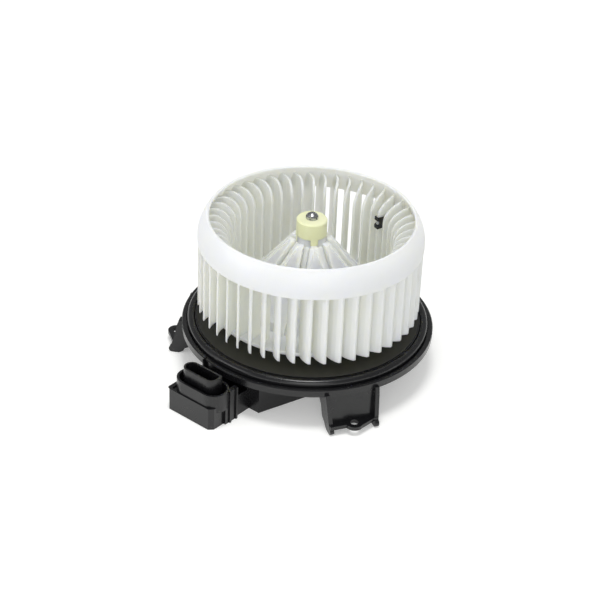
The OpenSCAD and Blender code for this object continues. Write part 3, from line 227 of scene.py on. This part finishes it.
materialLooks = {
    # natural polypropylene, injection moulded: milky, waxy, with light passing through thin walls
    "wheel_plastic": (mouldedPlastic, "natural polypropylene, moulded", {
        "colour": "#fdfef6", "shade": "#fafcf0", "cloudSize": 30, "grainSize": 0.6, "grainDepth": 0.02,
        "grainStrength": 0.25, "roughness": 0.36, "roughnessSpread": 0.05, "ior": 1.49,
        "scatter": 1.0, "scatterDepth": 8}),
    # natural nylon, injection moulded: pale yellow-green and a little waxy
    "insert_plastic": (mouldedPlastic, "natural nylon, moulded", {
        "colour": "#f0f1cc", "shade": "#eaecc0", "cloudSize": 12, "grainSize": 0.5, "grainDepth": 0.02,
        "grainStrength": 0.2, "roughness": 0.4, "roughnessSpread": 0.05, "ior": 1.53,
        "scatter": 0.25, "scatterDepth": 2}),
    # talc-filled polypropylene, moulded black: a clear sheen over a faint grain, duller on the dish's floor,
    # where an olive colour is a painted reflection of the wheel
    "black_plastic": (mouldedPlastic, "black filled polypropylene, moulded", {
        "colour": "#151517", "shade": "#0f0f11", "cloudSize": 18, "grainSize": 0.7, "grainDepth": 0.03,
        "grainStrength": 0.12, "roughness": 0.26, "roughnessSpread": 0.04, "ior": 1.5,
        # the dish floor's olive colour is a painted reflection of the wheel above it; its higher roughness is
        # the real duller finish
        "dullFloorAndPaintedReflection": {"radius": 75, "level": 22, "edge": 0.6, "colour": "#26261f", "roughness": 0.6}}),
    # EPDM rubber, moulded: dull black
    "rubber": (mouldedPlastic, "EPDM rubber, moulded", {
        "colour": "#1b1b1c", "shade": "#151516", "cloudSize": 10, "grainSize": 0.4, "grainDepth": 0.03,
        "grainStrength": 0.4, "roughness": 0.75, "roughnessSpread": 0.06, "ior": 1.52}),
    # phenolic board, pressed: brown with a paper-like mottle
    "phenolic_board": (mouldedPlastic, "phenolic board, pressed", {
        "colour": "#6e4426", "shade": "#54321c", "cloudSize": 3, "grainSize": 0.5, "grainDepth": 0.02,
        "grainStrength": 0.3, "roughness": 0.5, "roughnessSpread": 0.08, "ior": 1.55}),
    # carbon brush stock, pressed: grey-black and matt
    "carbon": (mouldedPlastic, "carbon graphite, pressed", {
        "colour": "#3a3a3d", "shade": "#2a2a2c", "cloudSize": 2, "grainSize": 0.3, "grainDepth": 0.03,
        "grainStrength": 0.4, "roughness": 0.6, "roughnessSpread": 0.1, "ior": 1.6}),
    # ferrite, sintered: dark grey and stone-like
    "ferrite": (mouldedPlastic, "ferrite, sintered", {
        "colour": "#4a4a4d", "shade": "#3c3c3f", "cloudSize": 5, "grainSize": 0.4, "grainDepth": 0.02,
        "grainStrength": 0.3, "roughness": 0.6, "roughnessSpread": 0.08, "ior": 1.7}),
    # epoxy, dipped: glossy orange with a soft skin
    "capacitor_dip": (mouldedPlastic, "epoxy, dipped", {
        "colour": "#c87a2a", "shade": "#b66c22", "cloudSize": 4, "grainSize": 1.5, "grainDepth": 0.05,
        "grainStrength": 0.2, "roughness": 0.22, "roughnessSpread": 0.05, "ior": 1.55}),
    # white nylon, turned: slightly waxy
    "white_nylon": (mouldedPlastic, "white nylon, turned", {
        "colour": "#e4e2d8", "shade": "#dad8cc", "cloudSize": 5, "grainSize": 0.4, "grainDepth": 0.02,
        "grainStrength": 0.25, "roughness": 0.42, "roughnessSpread": 0.06, "ior": 1.53}),
    # steel sheet, drawn and zinc plated: pale grey with a faint vertical draw grain
    "plated_steel": (workedMetal, "zinc plated steel, drawn", {
        "colour": "#c3c6c8", "shade": "#a9adb0", "grainSize": (0.5, 0.5, 6), "wearSize": 14,
        "grainDepth": 0.01, "roughness": 0.34}),
    # spring steel, stamped and tumbled: bright grey with soft-edged reflections
    "spring_steel": (workedMetal, "spring steel, stamped", {
        "colour": "#b6b8ba", "shade": "#97999c", "grainSize": (0.5, 0.5, 2), "wearSize": 5,
        "grainDepth": 0.01, "roughness": 0.26}),
    # spring steel, phosphated black: matt, not metallic to the eye
    "black_steel": (workedMetal, "phosphated steel, stamped", {
        "colour": "#2a2a2b", "shade": "#1c1c1d", "grainSize": (0.4, 0.4, 0.4), "wearSize": 3,
        "grainDepth": 0.02, "roughness": 0.5, "metallic": 0.3}),
    # brass sheet, stamped: warm yellow with a rolled grain along the bars
    "brass_sheet": (workedMetal, "brass sheet, stamped", {
        "colour": "#cfae68", "shade": "#b4924e", "grainSize": (0.4, 3, 0.4), "wearSize": 6,
        "grainDepth": 0.01, "roughness": 0.34}),
    # brass, tin plated: soft silver-grey
    "tinned_brass": (workedMetal, "tinned brass, stamped", {
        "colour": "#c9c7c0", "shade": "#b0aea6", "grainSize": (0.5, 3, 0.5), "wearSize": 6,
        "grainDepth": 0.01, "roughness": 0.36}),
    # copper, turned: fine rings
    "copper": (workedMetal, "copper, turned", {
        "colour": "#c98a62", "shade": "#a96d48", "grainSize": (3, 3, 0.25), "wearSize": 4,
        "grainDepth": 0.01, "roughness": 0.3}),
    # enamelled copper wire, wound: deep red-brown under a clear enamel
    "enamelled_copper": (workedMetal, "enamelled copper, wound", {
        "colour": "#9a4a26", "shade": "#6f2f16", "grainSize": (0.6, 0.6, 0.6), "wearSize": 2,
        "grainDepth": 0.15, "roughness": 0.3, "metallic": 0.7}),
    # bronze, sintered and oil filled: porous brown
    "sintered_bronze": (workedMetal, "sintered bronze", {
        "colour": "#a5794a", "shade": "#7f5a35", "grainSize": (0.25, 0.25, 0.25), "wearSize": 3,
        "grainDepth": 0.03, "roughness": 0.5}),
    # electrical steel, stacked: thin level lines
    "lamination_steel": (workedMetal, "electrical steel, stacked", {
        "colour": "#8c8e90", "shade": "#75777a", "grainSize": (8, 8, 0.5), "wearSize": 6,
        "grainDepth": 0.05, "roughness": 0.42}),
    # steel bar, ground: bright with fine rings
    "ground_steel": (workedMetal, "steel bar, ground", {
        "colour": "#cfd1d3", "shade": "#b9bbbd", "grainSize": (3, 3, 0.2), "wearSize": 6,
        "grainDepth": 0.005, "roughness": 0.2}),
}

finished = {slot: make(name, look) for slot, (make, name, look) in materialLooks.items()}
for part in subparts:
    mesh = nodes[part["node"]].data
    mesh.materials.clear()
    mesh.materials.append(finished[part["material_slot"]])
print("materials on", len(subparts), "nodes")


# brush springs: round wire wound between a brush and the end of its tube

brushSprings = {
    "turns": 6,
    "stepsPerTurn": 20,
    "wire": 0.6,        # mm
    "wireSides": 8,
    "travel": 2.6,      # mm, a little more than the brush's own
    # node, joint, and the side of the shaft that it lies on
    "places": [("brush_spring_left", "brush_left_slide", -1), ("brush_spring_right", "brush_right_slide", 1)],
}


def windSpring(name, joint, side):
    low, high = (Vector(corner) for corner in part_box(name))
    middle = (low + high) / 2
    wire = brushSprings["wire"] / 1000
    turns = brushSprings["turns"]
    steps = turns * brushSprings["stepsPerTurn"]
    advance = (high.x - low.x - wire) / steps
    start = Matrix.Translation((low.x + wire / 2, middle.y, high.z - wire / 2))
    coil = bmesh.new()
    bmesh.ops.create_circle(coil, segments=brushSprings["wireSides"], radius=wire / 2,
                            matrix=start @ Matrix.Rotation(math.pi / 2, 4, "X"))
    bmesh.ops.spin(coil, geom=coil.verts[:] + coil.edges[:], cent=middle, axis=(1, 0, 0),
                   dvec=(advance, 0, 0), angle=2 * math.pi * turns, steps=steps, use_duplicate=False)
    bmesh.ops.holes_fill(coil, edges=[edge for edge in coil.edges if edge.is_boundary])
    bmesh.ops.recalc_face_normals(coil, faces=coil.faces)
    for face in coil.faces:
        face.smooth = len(face.verts) == 4    # round along the wire, flat at its cut ends
    piece = finishPiece(name + "_wire", coil, finished["spring_steel"])
    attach(piece, "housing")
    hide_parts(name)
    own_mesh(piece)


for place in brushSprings["places"]:
    windSpring(*place)
print("brush springs wound")


# floor and light

studio = {
    "floorSize": 6.0,             # metres
    "floorColour": "#f2f2f0",
    "floorGlow": (0.27, 0.50),    # near and far, for camera and reflections alone, so that white stays white
    "glowReach": (0.35, 0.90),    # metres from the middle where it goes from near to far
    "worldColour": "#f7f8f8",
    "worldStrength": 0.6,
    "worldSheen": 0.36,           # what glossy surfaces see of it, darker as in a studio with open sides
    "lampAim": (0.0, 0.0, 0.05),
    # name, place, size in metres and power in watts
    "lamps": [
        ("overheadSoftbox", (0.09, -0.12, 1.1), 0.34, 4.7),
        ("cameraSideSoftbox", (0.75, -0.85, 0.45), 0.8, 3.6),
        ("leftSoftbox", (-0.60, -1.05, 0.4), 0.8, 3.0),
    ],
}


def backdropPaper():
    material, tree = newMaterial("paper backdrop, matt")
    paper = addNode(tree, "ShaderNodeBsdfDiffuse", inputs={"Color": linearColour(studio["floorColour"])})
    rays = addNode(tree, "ShaderNodeLightPath")
    direct = addNode(tree, "ShaderNodeMath", settings={"operation": "MAXIMUM"},
                     links={0: rays.outputs["Is Camera Ray"], 1: rays.outputs["Is Glossy Ray"]})
    shown = addNode(tree, "ShaderNodeMath", settings={"operation": "MAXIMUM"},
                    links={0: direct.outputs["Value"], 1: rays.outputs["Is Transmission Ray"]})
    level = addNode(tree, "ShaderNodeMapRange",
                    inputs={"From Min": studio["glowReach"][0], "From Max": studio["glowReach"][1],
                            "To Min": studio["floorGlow"][0], "To Max": studio["floorGlow"][1]},
                    links={"Value": outFromMiddle(tree)})
    strength = addNode(tree, "ShaderNodeMath", settings={"operation": "MULTIPLY"},
                       links={0: shown.outputs["Value"], 1: level.outputs["Result"]})
    glow = addNode(tree, "ShaderNodeEmission", inputs={"Color": (1, 1, 1, 1)},
                   links={"Strength": strength.outputs["Value"]})
    both = addNode(tree, "ShaderNodeAddShader",
                   links={0: paper.outputs["BSDF"], 1: glow.outputs["Emission"]})
    addNode(tree, "ShaderNodeOutputMaterial", links={"Surface": both.outputs["Shader"]})
    return material


def makeFloor():
    sheet = bmesh.new()
    bmesh.ops.create_grid(sheet, x_segments=1, y_segments=1, size=studio["floorSize"] / 2,
                          matrix=Matrix.Translation((0, 0, cadBox[0][2])))
    finishPiece("floor", sheet, backdropPaper())


def makeWorld():
    world = bpy.data.worlds.new("studio")
    bpy.context.scene.world = world
    world.use_nodes = True
    tree = world.node_tree
    tree.nodes.clear()
    rays = addNode(tree, "ShaderNodeLightPath")
    level = addNode(tree, "ShaderNodeMapRange",
                    inputs={"To Min": studio["worldStrength"], "To Max": studio["worldSheen"]},
                    links={"Value": rays.outputs["Is Glossy Ray"]})
    fill = addNode(tree, "ShaderNodeBackground", inputs={"Color": linearColour(studio["worldColour"])},
                   links={"Strength": level.outputs["Result"]})
    white = addNode(tree, "ShaderNodeBackground", inputs={"Color": (1, 1, 1, 1), "Strength": 1.0})
    shown = addNode(tree, "ShaderNodeMixShader",
                    links={0: rays.outputs["Is Camera Ray"], 1: fill.outputs["Background"],
                           2: white.outputs["Background"]})
    addNode(tree, "ShaderNodeOutputWorld", links={"Surface": shown.outputs["Shader"]})


def makeLamps():
    for name, place, size, power in studio["lamps"]:
        data = bpy.data.lights.new(name, "AREA")
        data.shape = "DISK"
        data.size = size
        data.energy = power
        lamp = bpy.data.objects.new(name, data)
        bpy.context.collection.objects.link(lamp)
        lamp.location = place
        toAim = Vector(studio["lampAim"]) - Vector(place)
        lamp.rotation_euler = toAim.to_track_quat("-Z", "Y").to_euler()


makeFloor()
makeWorld()
makeLamps()
print("floor and", len(studio["lamps"]), "lamps placed")


# camera at the photograph's viewing angle

camera = {
    "place": (0.62180, -0.78171, 0.67007),
    "aim": (-0.01372, 0.00815, 0.02803),
    "roll": 2.49,      # degrees
    "lens": 105.28,    # mm
    "sensor": 36,      # mm
}


def makeCamera():
    data = bpy.data.cameras.new("photoCamera")
    data.lens = camera["lens"]
    data.sensor_width = camera["sensor"]
    shown = bpy.data.objects.new("photoCamera", data)
    bpy.context.collection.objects.link(shown)
    look = (Vector(camera["aim"]) - Vector(camera["place"])).to_track_quat("-Z", "Y")
    shown.matrix_world = (Matrix.Translation(camera["place"]) @ look.to_matrix().to_4x4()
                          @ Matrix.Rotation(math.radians(camera["roll"]), 4, "Z"))
    bpy.context.scene.camera = shown


makeCamera()
bpy.context.scene.view_settings.view_transform = "Standard"


print("scene finished")
